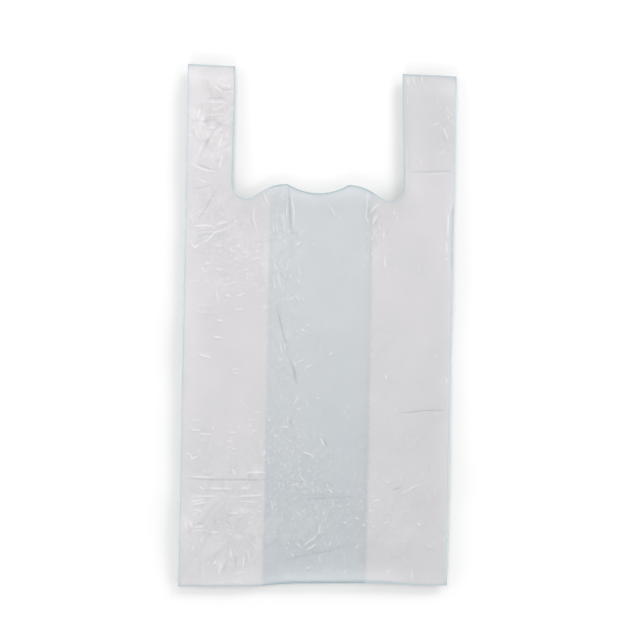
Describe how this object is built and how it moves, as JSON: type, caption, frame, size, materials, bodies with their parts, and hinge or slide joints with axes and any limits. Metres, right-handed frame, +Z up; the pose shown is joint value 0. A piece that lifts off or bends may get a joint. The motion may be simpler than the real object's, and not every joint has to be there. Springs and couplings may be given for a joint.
{
  "type": "plastic carrier bag",
  "caption": "Flat-folded vest-style carrier bag of thin translucent white film, with side gussets, welded ends, a scalloped mouth and a loop handle at each side.",
  "frame": {"origin": "under the middle of the bag's bounding box, on the surface it lies on", "axes": "+X across the bag towards the wider handle, +Y from the base to the handle tops, +Z up through the layers"},
  "size_m": [0.276, 0.5362, 0.006],
  "materials": {
    "film": "milky translucent film, soft gloss, finely creased"
  },
  "bodies": {
    "root": {"bag": "film"}
  },
  "joints": []
}
